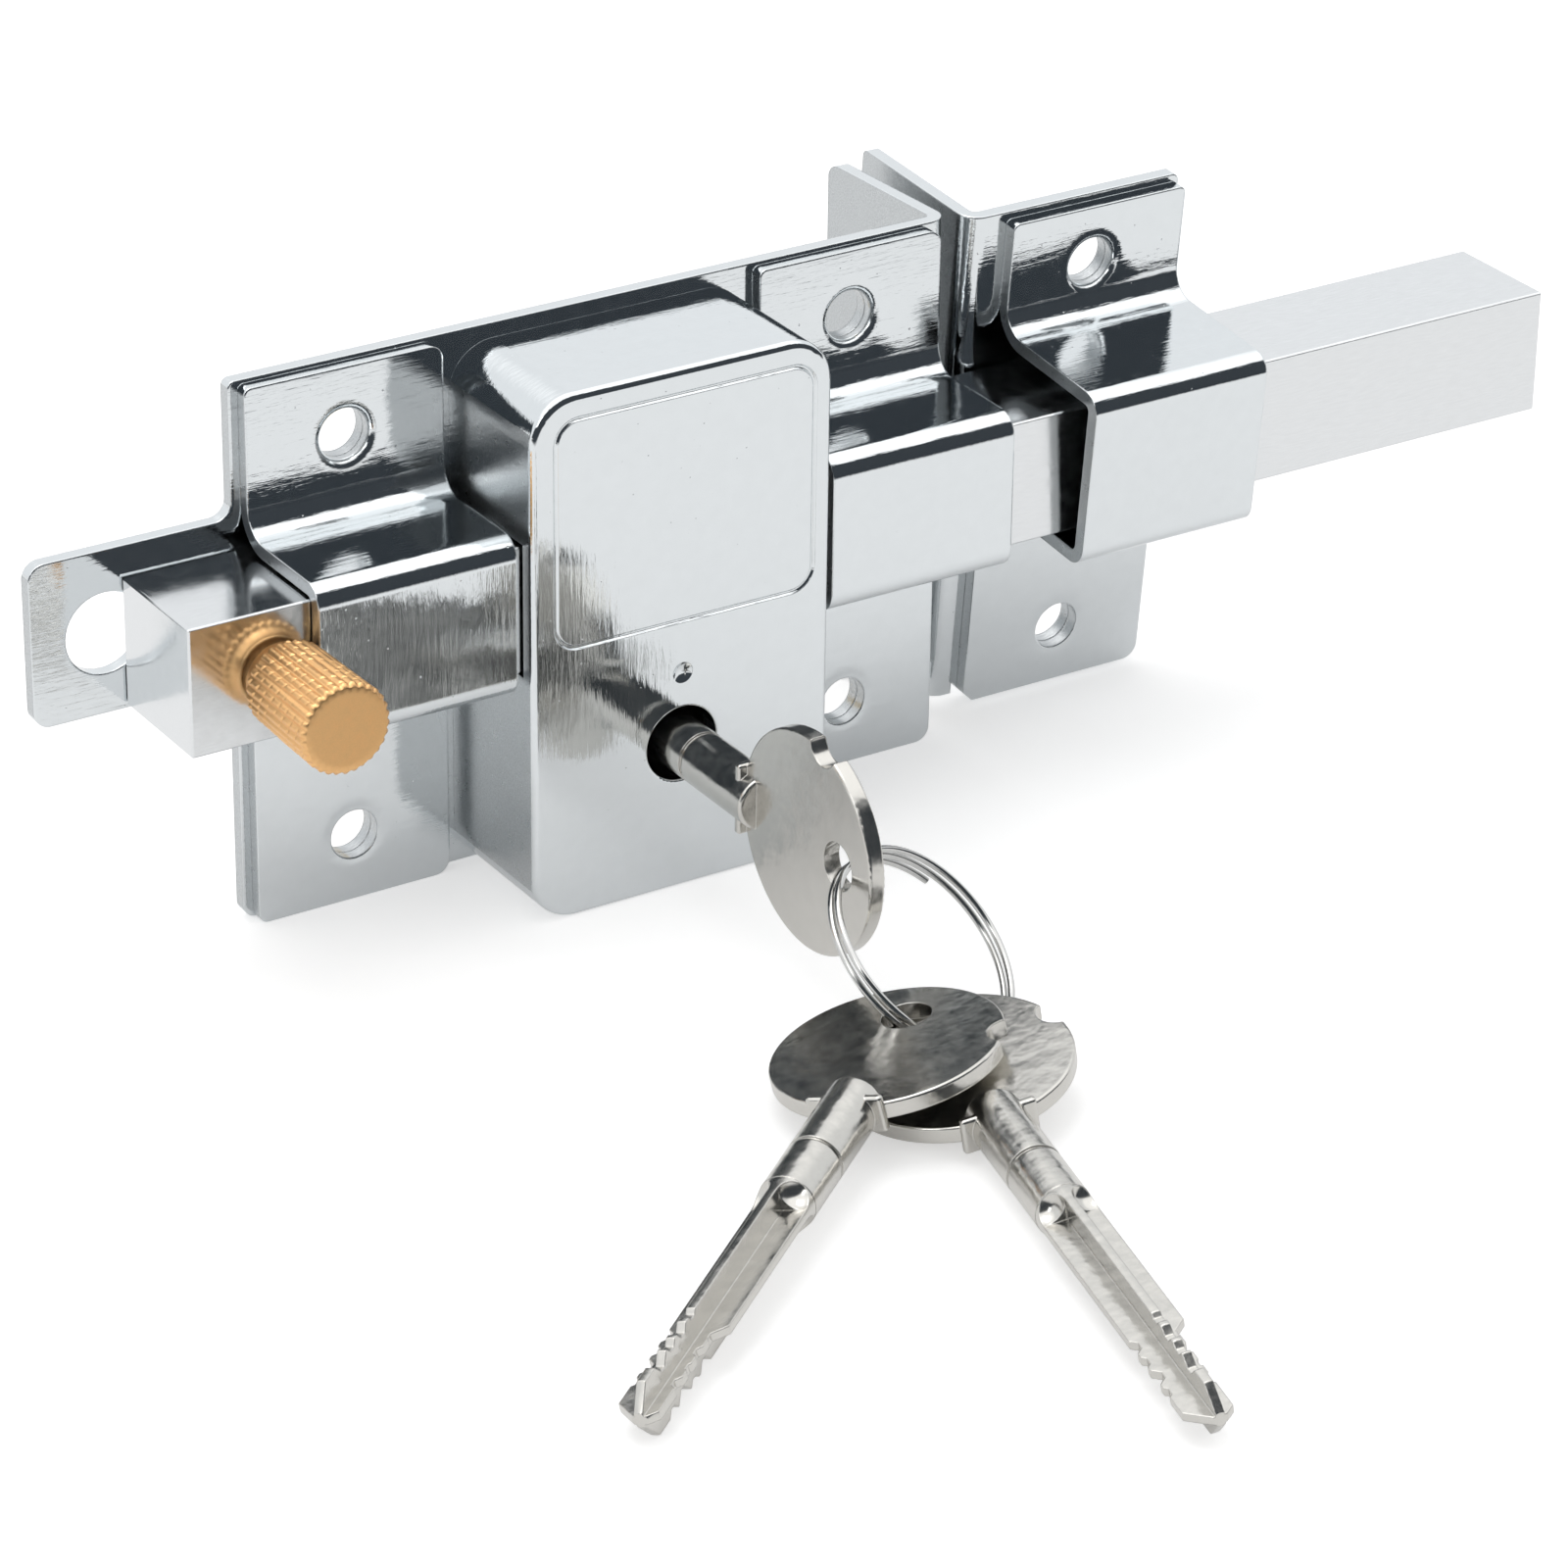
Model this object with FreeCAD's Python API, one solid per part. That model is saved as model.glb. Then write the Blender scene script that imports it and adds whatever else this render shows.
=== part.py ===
import FreeCAD, Part
import math
import os

# A rim lock for the face of a door: a square bolt bar in two bridges, a drawn case over
# the lock work, a cylinder that reaches back into the door, a loose keeper, three keys.
# Millimetres. X runs along the bar, Y goes back into the door, Z is up. The door's face
# is the plane Y = 0 and the origin is the middle of the four screw holes.

Vector = FreeCAD.Vector

# Sheet that the backplate, the bridges and the keeper are bent from
sheet = 2.0
bend_outer = 3.0
bend_inner = bend_outer - sheet

# Bolt bar
bar_size = 19.05
bar_length = 226.8
bar_beyond_knob = 12.9
bar_z = 7.1
bar_gap = 0.35
bar_side_gap = 0.45
bar_travel = 96.0
bar_edge = 0.25

# Screw holes through the bridges and the backplate
screw_spacing_z = 60.8
screw_hole_r = 3.7
screw_rim = 1.0

# Backplate, as far as it stands out past the bridges
plate_left_margin = 1.45
plate_right_margin = 2.75
plate_low_margin = -0.3
plate_top_margin = 0.6
plate_top_corner = 1.1
plate_low_corner = 2.0
return_corner = 2.5
return_depth = 25.0
return_step = 5.5
return_splay = -2.7

# Tail of the backplate, with its hole
tail_length = 30.5
tail_bottom = -3.0
tail_top = 21.1
tail_hole_out = 19.4
tail_hole_z = 8.9
tail_hole_r = 6.0
tail_fillet = 2.5

# Bridges, sheared by hand, so that no two corners are alike
bridge_width = 30.4
bridge_height = 81.0
bridge_corner_low_left = 1.4
bridge_corner_low_right = 2.3
bridge_corner_top_right = 2.0
bridge_corner_top_left = 1.1
bridge_nose = 3.2
bridge_foot = 4.0

# Case, and the gaps between it and the bridges beside it
case_width = 48.1
case_left_gap = 1.95
case_right_gap = 0.85
case_low_margin = 0.1
case_top_margin = -1.65
case_wall = 1.5
case_room = 1.5
case_corner = 7.0
case_edge = 1.0
case_window_gap = 0.5

# Line pressed round the upper panel of the case, and the small mark under it
panel_left_inset = 3.4
panel_right_inset = 2.5
panel_top_inset = 3.35
panel_over_key = 18.65
panel_corner = 4.0
panel_line = 0.8
panel_depth = 0.3
panel_slope = 0.28
dimple_over_key = 11.0
dimple_r = 1.6
dimple_depth = 0.6

# Key axis and keyhole
key_z = -18.05
keyhole_r = 5.6
keyhole_roll = 1.1
keyhole_round = 0.4
keyhole_lip = 1.9

# Posts and screws that hold the case
post_r = 3.0
post_inset_x = 5.2
post_inset_z = 5.4
post_screw_r = 1.5
post_screw_head_r = 2.9
post_screw_head = 1.5
post_screw_reach = 9.0
post_slot_depth = 0.7
post_slot_half = 0.4

# Cylinder
barrel_r = 12.0
barrel_past_key = 7.9
barrel_gap = 0.1
pilot_step = 0.4
flange_r = 16.5
flange_top_gap = 0.9
flange_screw_radius = 14.4
flange_screw_angle = 22.0
flange_screw_r = 1.25
flange_screw_head_r = 2.0
flange_screw_head = 1.3
flange_slot_half = 0.3

# Plug, with the running gap in the barrel
plug_r = 7.0
plug_gap = 0.05
plug_shoulder_r = 8.2
plug_shoulder = 1.7
shoulder_gap = 0.05
spigot_r = 6.0
spigot_flat = 0.8
keyway_depth = 1.4
keyway_gap = 0.25
washer_r = 9.0
washer = 0.6
clip_r = 8.6
clip = 0.8
clip_groove = 0.8
clip_mouth = 1.2
plug_tail = 1.2

# Pins of the cylinder, in four rows
pin_rows = 4
pins_in_row = 3
pin_before_tip = 11.6
pin_pitch = 4.0
pin_r = 1.25
pin_gap = 0.05
pin_tip_r = 4.2
pin_nose_r = 0.5
pin_nose = 0.75
driver_length = 1.6
spring_length = 2.2
spring_wall = 0.35
pin_end_gap = 0.08

# Crank on the plug and the dog that it lifts into the bar
cam_r = 9.0
cam = 3.4
cam_gap = 0.25
crank_radius = 7.0
crank_pin_r = 1.2
crank_slot_gap = 0.35
crank_start = -45.0
dog = 3.8
dog_half_width = 10.5
dog_gap = 0.3
dog_tongue_half = 6.0
dog_top_gap = 0.45
dog_shoulder_gap = 0.3
dog_foot = 2.4
dog_window_gap = 0.5
dog_window_flat = 0.1
pocket_gap = 0.35
pocket_end_gap = 0.5

# Bracket that guides the dog, on four posts
guide = 1.4
guide_side_gap = 0.15
guide_cheek = 1.4
guide_half_x = 18.6
guide_half_z = 13.0
guide_hole_r = 5.0
guide_corner = 2.0
guide_post_x = 16.2
guide_post_z = 10.6
guide_post_r = 2.1
guide_rivet_r = 1.4
guide_rivet_head_r = 2.2
guide_rivet_head = 0.8
rivet_gap = 0.03

# Pin in the backplate that ends the bar's travel in a groove
stop_off_centre = 0.35
stop_pin_r = 2.0
stop_reach = 3.2
stop_gap = 0.4

# Brass knob on the bar: a fluted grip that tapers back to a smooth shoulder and a short neck
knob_off_bridge = 5.35
knob_length = 19.6
knob_front_r = 6.65
knob_chamfer = 0.55
knob_back_r = 6.35
knob_grip_back = 3.4
knob_shoulder_front = 2.7
knob_shoulder_r = 5.1
knob_shoulder_round = 0.4
knob_neck_r = 3.6
knob_neck = 0.8
knob_groove_back = 3.0
knob_grooves = 30
knob_groove_depth = 0.3
knob_groove_r = 0.45
stud_r = 2.5
stud_in_bar = 9.0
stud_in_knob = 7.0
stud_end_gap = 0.5
stud_gap = 0.03

# Keeper, loose on the bar: drawn upright, then tilted about X and set back by keeper_back
keeper_tilt = 5.44
keeper_back = 2.0
keeper_gap = 1.9
keeper_width = 36.8
keeper_bottom = -39.35
keeper_top = 41.2
keeper_splay = 2.0
keeper_return = 27.0
keeper_return_drop = 1.7
keeper_return_step = 0.85
keeper_return_corner = 1.2
keeper_hole_in = 15.6
keeper_hole_z = 0.45
keeper_bridge_in = 6.8
keeper_flange_in = 5.3
keeper_bridge_top = 39.95
keeper_rise = 2.2
keeper_side_gap = 2.25
keeper_front_gap = 4.25
keeper_nose = 3.0
keeper_chamfer = 1.6
keeper_top_corner = 1.0
keeper_low_corner = 2.4
keeper_plate_corner = 1.2

# Keys
bow_r = 16.0
bow = 2.5
bow_edge = 0.4
bow_hole_x = 8.0
bow_hole_r = 3.5
bow_notch_angle = 103.0
bow_notch_r = 3.0
bow_notch_depth = 2.4
shank_r = 3.95
shank_start = 12.6
shank_start_round = 0.55
shank_groove = 28.0
shank_groove_depth = 0.3
shank_groove_width = 0.7
fin_start = 15.0
fin_end = 16.3
fin_half_width = 5.35
fin_half_height = 2.6
fin_round = 0.5
blade_start = 38.0
blade_r = 3.9
blade_flute_r = 2.8
blade_rib = 1.2
key_length = 88.5
key_tip = 2.8
key_tip_r = 1.0

# Cuts in the four ribs of the blade, the first bit_before_tip from its end and the next a pitch on
bit_before_tip = 18.1
bit_pitch = 3.5
bit_floor = 1.1
bit_top = (0.6, 1.0, 0.8, 1.4)
bit_left = (0.9, 0.6, 1.1, 0.5)
bit_bottom = (1.2, 0.7, 1.4, 0.9)
bit_right = (1.8, 2.3, 2.0, 2.4)
bit_step_before_tip = 17.7
bit_step = 1.7
quarter_turn = 90

# Where the bow of each key lies, the way its shank points and how far it rolls on it
key_1_bow_y = -58.4
key_2_bow_x = -8.386
key_2_bow_y = -91.086
key_2_bow_z = -32.603
key_2_yaw = -142.84
key_2_pitch = -2.49
key_2_roll = -13.41
key_3_bow_x = 0.128
key_3_bow_y = -94.671
key_3_bow_z = -35.5
key_3_yaw = -102.7
key_3_pitch = -0.31
key_3_roll = -9.65

# Split ring
ring_x = 7.598
ring_y = -74.94
ring_z = -29.182
ring_normal_x = -0.3849
ring_normal_y = 0.5638
ring_normal_z = -0.7307
ring_r = 15.034
ring_wire_r = 0.5
ring_pitch = 1.45
ring_turns = 2.18
ring_start = 93.49

# Places that follow from the sizes above
bar_back = -(sheet + bar_gap)
bar_front = bar_back - bar_size
bar_bottom = bar_z - bar_size / 2
bar_top = bar_z + bar_size / 2
plate_front = -sheet
flange_front = -2 * sheet
channel_front = bar_front - bar_gap - sheet
channel_half = bar_size / 2 + bar_side_gap + sheet
case_inner_front = bar_front - case_room
case_front = case_inner_front - case_wall
case_x = (case_left_gap - case_right_gap) / 2
case_bottom = -bridge_height / 2 - case_low_margin
case_top = bridge_height / 2 + case_top_margin
plate_bottom = -bridge_height / 2 - plate_low_margin
plate_top = bridge_height / 2 + plate_top_margin
return_bottom = plate_bottom + return_step
keeper_return_bottom = keeper_bottom + keeper_return_step
case_left = case_x - case_width / 2
case_right = case_x + case_width / 2
screw_spacing_x = case_width + bridge_width + case_left_gap + case_right_gap
bridge_edge = (screw_spacing_x + bridge_width) / 2
plate_left = -bridge_edge - plate_left_margin
plate_face = bridge_edge + plate_right_margin
tail_end = plate_left - tail_length
tail_hole_x = plate_left - tail_hole_out
panel_left = case_left + panel_left_inset
panel_right = case_right - panel_right_inset
panel_bottom = key_z + panel_over_key
panel_top = case_top - panel_top_inset
dimple_z = key_z + dimple_over_key
knob_x = -bridge_edge - knob_off_bridge
knob_front = bar_front - knob_length
bar_left = knob_x - bar_beyond_knob
stop_x = -screw_spacing_x / 2 - stop_off_centre
key_end = key_1_bow_y + key_length
pin_first = key_end - pin_before_tip
barrel_back = key_end + barrel_past_key
pilot_r = barrel_r + pilot_step
bit_start = key_length - bit_before_tip
bit_step_start = key_length - bit_step_before_tip
keeper_face = plate_face + keeper_gap
keeper_right = keeper_face + keeper_width
keeper_hole_x = keeper_right - keeper_hole_in
keeper_bridge_left = keeper_face + keeper_bridge_in
keeper_flange_left = keeper_face + keeper_flange_in
keeper_channel_z = bar_z + keeper_rise
keeper_channel_half = bar_size / 2 + keeper_side_gap + sheet
keeper_channel_front = bar_front - keeper_front_gap - sheet
barrel_front = plate_front - sheet
shoulder_front = barrel_front - shoulder_gap - plug_shoulder
cam_back = shoulder_front
cam_front = cam_back - cam
dog_back = cam_front - cam_gap
dog_front = dog_back - dog
guide_back = dog_front - dog_gap
guide_front = guide_back - guide
dog_travel = 2 * crank_radius * math.sin(math.radians(-crank_start))
dog_top = bar_bottom - dog_top_gap
dog_shoulder = bar_bottom - dog_shoulder_gap - dog_travel
pocket_top = dog_top + dog_travel + pocket_end_gap

along_x = Vector(1, 0, 0)
along_y = Vector(0, 1, 0)
along_z = Vector(0, 0, 1)
key_2_bow = Vector(key_2_bow_x, key_2_bow_y, key_2_bow_z)
key_3_bow = Vector(key_3_bow_x, key_3_bow_y, key_3_bow_z)
ring_centre = Vector(ring_x, ring_y, ring_z)
ring_normal = Vector(ring_normal_x, ring_normal_y, ring_normal_z)
made = {}


# Helpers

def keep(name, shape):
    made[name] = shape.removeSplitter()


def block(x0, x1, y0, y1, z0, z1):
    return Part.makeBox(x1 - x0, y1 - y0, z1 - z0, Vector(x0, y0, z0))


def rod(centre, axis, radius, length):
    return Part.makeCylinder(radius, length, centre, axis)


def rod_y(x, z, radius, y0, y1):
    return rod(Vector(x, y0, z), along_y, radius, y1 - y0)


def unit(v):
    return v * (1.0 / v.Length)


def rounded_path(points, radii):
    # A chain of straight runs whose inner corners are replaced by tangent arcs
    starts = [points[0]]
    ends = []
    arcs = []
    for i in range(1, len(points) - 1):
        to_last = unit(points[i - 1] - points[i])
        to_next = unit(points[i + 1] - points[i])
        radius = radii[i - 1]
        if radius <= 0:
            ends.append(points[i])
            starts.append(points[i])
            arcs.append(None)
            continue
        half = to_last.getAngle(to_next) / 2
        cut = radius / math.tan(half)
        bisector = unit(to_last + to_next)
        centre = points[i] + bisector * (radius / math.sin(half))
        first = points[i] + to_last * cut
        last = points[i] + to_next * cut
        arcs.append(Part.Arc(first, centre - bisector * radius, last).toShape())
        ends.append(first)
        starts.append(last)
    ends.append(points[-1])
    edges = []
    for i, (start, end) in enumerate(zip(starts, ends)):
        if (end - start).Length > 1e-6:
            edges.append(Part.LineSegment(start, end).toShape())
        if i < len(arcs) and arcs[i] is not None:
            edges.append(arcs[i])
    return edges


def closed_outline(points, radii):
    # The same for a closed outline: it starts in the middle of its last side
    middle = (points[0] + points[-1]) * 0.5
    edges = rounded_path([middle] + points + [middle], radii)
    return Part.Face(Part.Wire(Part.sortEdges(edges)[0]))


def rounded_slab(x0, x1, z0, z1, y0, y1, radii):
    # A plate in the XZ plane, with a radius for each corner: lower left, lower right,
    # upper right, upper left
    corners = [Vector(x0, y0, z0), Vector(x1, y0, z0), Vector(x1, y0, z1), Vector(x0, y0, z1)]
    return closed_outline(corners, radii).extrude(Vector(0, y1 - y0, 0))


def edges_where(shape, test):
    return [edge for edge in shape.Edges if test(edge)]


def on_circle(edge, radius, y):
    curve = edge.Curve
    if not hasattr(curve, "Radius"):
        return False
    return abs(curve.Radius - radius) < 1e-4 and abs(curve.Center.y - y) < 1e-4


# Backplate with its return flange and its tail

def bent_sheet(left, face, depth, splay, bottom, top):
    # A flat plate that turns back round a bend at its end, seen along Z
    lean = math.tan(math.radians(splay))
    sign = 1.0 if face > left else -1.0
    outer_corner = Vector(face, plate_front, bottom)
    outer_end = Vector(face + lean * (depth + sheet), depth, bottom)
    side = unit(outer_end - outer_corner)
    inward = Vector(-sign * side.y, sign * side.x, 0)
    inner_end = outer_end + inward * sheet
    inner_corner_shift = (plate_front + sheet - inner_end.y) / side.y
    inner_corner = inner_end + side * inner_corner_shift
    outer = rounded_path([Vector(left, plate_front, bottom), outer_corner, outer_end], [bend_outer])
    inner = rounded_path([inner_end, inner_corner, Vector(left, 0, bottom)], [bend_inner])
    ends = [Part.LineSegment(outer_end, inner_end).toShape(),
            Part.LineSegment(Vector(left, 0, bottom), Vector(left, plate_front, bottom)).toShape()]
    outline = Part.Wire(Part.sortEdges(outer + inner + ends)[0])
    return Part.Face(outline).extrude(Vector(0, 0, top - bottom))


def screw_places():
    places = []
    for sx in (-1, 1):
        for sz in (-1, 1):
            places.append((sx * screw_spacing_x / 2, sz * screw_spacing_z / 2))
    return places


def case_posts_at():
    places = []
    for x in (case_left + post_inset_x, case_right - post_inset_x):
        for z in (case_bottom + post_inset_z, case_top - post_inset_z):
            places.append((x, z))
    return places


def guide_posts_at():
    places = []
    for sx in (-1, 1):
        for sz in (-1, 1):
            places.append((case_x + sx * guide_post_x, key_z + sz * guide_post_z))
    return places


def flange_screws_at():
    places = []
    for angle in (180 + flange_screw_angle, -flange_screw_angle):
        turn = math.radians(angle)
        places.append((case_x + flange_screw_radius * math.cos(turn),
                       key_z + flange_screw_radius * math.sin(turn)))
    return places


def make_backplate():
    plate = bent_sheet(plate_left, plate_face, return_depth, return_splay, plate_bottom, plate_top)
    behind = block(plate_face - bend_outer, plate_face + sheet, plate_front - 1, return_depth + 1,
                   plate_bottom - 1, return_bottom)
    plate = plate.cut(behind)
    corner = rounded_slab(plate_left, plate_face + sheet, plate_bottom, plate_top, plate_front - 1,
                          return_depth + 1, [plate_low_corner, 0, 0, plate_top_corner])
    plate = plate.common(corner)
    far_corner = closed_outline([Vector(0, plate_front - 1, plate_bottom - 1),
                                 Vector(0, return_depth, plate_bottom - 1),
                                 Vector(0, return_depth, plate_top),
                                 Vector(0, plate_front - 1, plate_top)],
                                [0, 0, return_corner, 0])
    far_corner = far_corner.extrude(Vector(plate_face + sheet, 0, 0))
    left_half = block(plate_left - 1, 0, plate_front - 1, 1, plate_bottom - 1, plate_top + 1)
    plate = plate.common(far_corner.fuse(left_half))
    tail = rounded_slab(tail_end, plate_left + sheet, tail_bottom, tail_top, plate_front, 0,
                        [tail_fillet, 0, 0, tail_fillet])
    plate = plate.fuse(tail).removeSplitter()
    inner = edges_where(plate, lambda e: abs(e.CenterOfMass.x - plate_left) < 1e-4
                        and abs(e.CenterOfMass.y + sheet / 2) < 1e-4
                        and (abs(e.CenterOfMass.z - tail_top) < 1e-4
                             or abs(e.CenterOfMass.z - tail_bottom) < 1e-4))
    plate = plate.makeFillet(tail_fillet, inner)
    holes = [rod_y(tail_hole_x, tail_hole_z, tail_hole_r, plate_front - 1, 1)]
    for x, z in screw_places():
        holes.append(rod_y(x, z, screw_hole_r, plate_front - 1, 1))
    for x, z in guide_posts_at():
        holes.append(rod_y(x, z, guide_rivet_r + rivet_gap, plate_front - 1, 1))
    for x, z in flange_screws_at():
        holes.append(rod_y(x, z, flange_screw_r + rivet_gap, plate_front - 1, 1))
    for x, z in case_posts_at():
        holes.append(rod_y(x, z, post_screw_r + rivet_gap, plate_front - 1, 1))
        holes.append(Part.makeCone(post_screw_r + rivet_gap, post_screw_head_r + rivet_gap,
                                   post_screw_head, Vector(x, -post_screw_head, z), along_y))
    holes.append(rod_y(case_x, key_z, pilot_r + barrel_gap, plate_front - 1, 1))
    holes.append(rod_y(stop_x, bar_z, stop_pin_r + rivet_gap, plate_front - 1, 1))
    return plate.cut(Part.makeCompound(holes))


# Bridges over the bar

def hat_sheet(x0, x1, bottom, top, channel_z, half, front, nose_r):
    # A sheet with two flanges and a channel between them, seen along X
    def path(y_flange, y_front, half_height, foot, nose):
        upper = channel_z + half_height
        lower = channel_z - half_height
        points = [Vector(x0, y_flange, top), Vector(x0, y_flange, upper), Vector(x0, y_front, upper),
                  Vector(x0, y_front, lower), Vector(x0, y_flange, lower), Vector(x0, y_flange, bottom)]
        return rounded_path(points, [foot, nose, nose, foot])
    outer = path(flange_front, front, half, bridge_foot, nose_r)
    inner = path(plate_front, front + sheet, half - sheet, bridge_foot + sheet, nose_r - sheet)
    ends = []
    for z in (top, bottom):
        ends.append(Part.LineSegment(Vector(x0, flange_front, z), Vector(x0, plate_front, z)).toShape())
    outline = Part.Wire(Part.sortEdges(outer + inner + ends)[0])
    return Part.Face(outline).extrude(Vector(x1 - x0, 0, 0))


def screw_hole(hat, x, z, rim):
    hat = hat.cut(rod_y(x, z, screw_hole_r, flange_front - 1, plate_front + 1))
    if rim > 0:
        edge = edges_where(hat, lambda e: on_circle(e, screw_hole_r, flange_front)
                           and abs(e.Curve.Center.z - z) < 1e-3)
        hat = hat.makeFillet(rim, edge)
    return hat


def make_bridge(centre_x):
    half_width = bridge_width / 2
    x0 = centre_x - half_width
    x1 = centre_x + half_width
    half_height = bridge_height / 2
    hat = hat_sheet(x0, x1, -half_height, half_height, bar_z, channel_half, channel_front, bridge_nose)
    corners = rounded_slab(x0, x1, -half_height, half_height, channel_front - 1, 1,
                           [bridge_corner_low_left, bridge_corner_low_right,
                            bridge_corner_top_right, bridge_corner_top_left])
    hat = hat.common(corners)
    hat = screw_hole(hat, centre_x, screw_spacing_z / 2, screw_rim)
    return screw_hole(hat, centre_x, -screw_spacing_z / 2, 0)


# Case: a drawn cup with a window for the bar on each side and a rolled keyhole

def make_case():
    outer = rounded_slab(case_left, case_right, case_bottom, case_top, case_front, plate_front,
                         [case_corner] * 4)
    rim = edges_where(outer, lambda e: abs(e.CenterOfMass.y - case_front) < 1e-4)
    outer = outer.makeFillet(case_edge, rim)
    inner = rounded_slab(case_left + case_wall, case_right - case_wall, case_bottom + case_wall,
                         case_top - case_wall, case_inner_front, plate_front + 1,
                         [case_corner - case_wall] * 4)
    shell = outer.cut(inner)
    window = bar_size / 2 + case_window_gap
    shell = shell.cut(block(case_left - 1, case_right + 1, bar_front - case_window_gap, plate_front + 1,
                            bar_z - window, bar_z + window))
    lip = rod_y(case_x, key_z, keyhole_r + keyhole_roll, case_front + case_wall / 2,
                case_inner_front + keyhole_lip)
    shell = shell.fuse(lip).cut(rod_y(case_x, key_z, keyhole_r, case_front - 1,
                                      case_inner_front + keyhole_lip + 1))
    mouth = edges_where(shell, lambda e: on_circle(e, keyhole_r, case_front))
    shell = shell.makeFillet(keyhole_round, mouth)
    line_back = case_front + panel_depth
    wide = rounded_slab(panel_left, panel_right, panel_bottom, panel_top, case_front - 1, line_back,
                        [panel_corner] * 4)
    narrow = rounded_slab(panel_left + panel_line, panel_right - panel_line, panel_bottom + panel_line,
                          panel_top - panel_line, case_front - 1, line_back,
                          [panel_corner - panel_line] * 4)
    line = wide.cut(narrow)
    floor_edges = edges_where(line, lambda e: abs(e.CenterOfMass.y - line_back) < 1e-4)
    shell = shell.cut(line.makeChamfer(panel_slope, floor_edges))
    ball_r = (dimple_r ** 2 + dimple_depth ** 2) / (2 * dimple_depth)
    ball = Part.makeSphere(ball_r, Vector(case_x, case_front + dimple_depth - ball_r, dimple_z))
    return shell.cut(ball)


def make_case_posts():
    posts = []
    for x, z in case_posts_at():
        post = rod_y(x, z, post_r, case_inner_front, plate_front)
        posts.append(post.cut(rod_y(x, z, post_screw_r + rivet_gap, plate_front - post_screw_reach,
                                    plate_front + 1)))
    return Part.makeCompound(posts)


def make_case_screws():
    screws = []
    for x, z in case_posts_at():
        shank = rod_y(x, z, post_screw_r, plate_front - post_screw_reach + 1, 0)
        head = Part.makeCone(post_screw_r, post_screw_head_r, post_screw_head,
                             Vector(x, -post_screw_head, z), along_y)
        slot = block(x - post_screw_head_r, x + post_screw_head_r, -post_slot_depth, 1,
                     z - post_slot_half, z + post_slot_half)
        screws.append(shank.fuse(head).cut(slot).removeSplitter())
    return Part.makeCompound(screws)


# Cylinder behind the backplate

def make_cylinder_body():
    body = rod_y(case_x, key_z, barrel_r, barrel_front, barrel_back)
    flange = rod_y(case_x, key_z, flange_r, barrel_front, plate_front)
    above = block(case_x - flange_r, case_x + flange_r, barrel_front - 1, plate_front + 1,
                  bar_bottom - flange_top_gap, key_z + flange_r + 1)
    pilot = rod_y(case_x, key_z, pilot_r, plate_front, 0)
    body = body.fuse([flange.cut(above), pilot]).removeSplitter()
    body = body.cut(rod_y(case_x, key_z, plug_r + plug_gap, barrel_front - 1, barrel_back + 1))
    for x, z in flange_screws_at():
        body = body.cut(rod_y(x, z, flange_screw_r + rivet_gap, barrel_front - 1, plate_front + 1))
    chambers = []
    spring_end = plug_r + 2 * pin_end_gap + driver_length + pin_end_gap + spring_length
    for place, outward in pin_places():
        chambers.append(rod(place + outward * (plug_r - 1), outward, pin_r + pin_gap,
                            spring_end + pin_end_gap - plug_r + 1))
    return body.cut(Part.makeCompound(chambers))


def pin_places():
    places = []
    for row in range(pin_rows):
        turn = 2 * math.pi * row / pin_rows
        outward = Vector(math.cos(turn), 0, math.sin(turn))
        for i in range(pins_in_row):
            places.append((Vector(case_x, pin_first + i * pin_pitch, key_z), outward))
    return places


def make_flange_screws():
    screws = []
    for x, z in flange_screws_at():
        shank = rod_y(x, z, flange_screw_r, barrel_front, 0)
        head = rod_y(x, z, flange_screw_head_r, barrel_front - flange_screw_head, barrel_front)
        slot = block(x - flange_screw_head_r, x + flange_screw_head_r, barrel_front - flange_screw_head - 1,
                     barrel_front - flange_screw_head / 2, z - flange_slot_half, z + flange_slot_half)
        screws.append(shank.fuse(head).cut(slot).removeSplitter())
    return Part.makeCompound(screws)


def flutes(half_rib, start, end):
    # Four square grooves that leave a cross of ribs along local x, each from a round pocket
    middle = half_rib + blade_flute_r
    far = 2 * blade_r
    cutters = []
    for sy in (-1, 1):
        for sz in (-1, 1):
            near_corner = Vector(start, min(sy * half_rib, sy * far), min(sz * half_rib, sz * far))
            cutters.append(Part.makeBox(end - start, far - half_rib, far - half_rib, near_corner))
            cutters.append(Part.makeSphere(blade_flute_r, Vector(start, sy * middle, sz * middle)))
    return cutters


def key_frame(bow_place, direction, upper):
    # Local x along the shank, local z along the bow's upper side
    x = unit(direction)
    z = unit(upper - x * upper.dot(x))
    y = z.cross(x)
    matrix = FreeCAD.Matrix(x.x, y.x, z.x, bow_place.x, x.y, y.y, z.y, bow_place.y,
                            x.z, y.z, z.z, bow_place.z, 0, 0, 0, 1)
    return FreeCAD.Placement(matrix)


def key_1_frame():
    return key_frame(Vector(case_x, key_1_bow_y, key_z), along_y, along_x)


def make_keyway():
    start = shoulder_front - cam - key_1_bow_y - 1
    end = key_length + keyway_depth
    way = rod(Vector(start, 0, 0), along_x, blade_r + keyway_gap, end - start)
    for cutter in flutes(blade_rib / 2 + keyway_gap, start - 1, end + 1):
        way = way.cut(cutter)
    way.Placement = key_1_frame()
    return way


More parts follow.
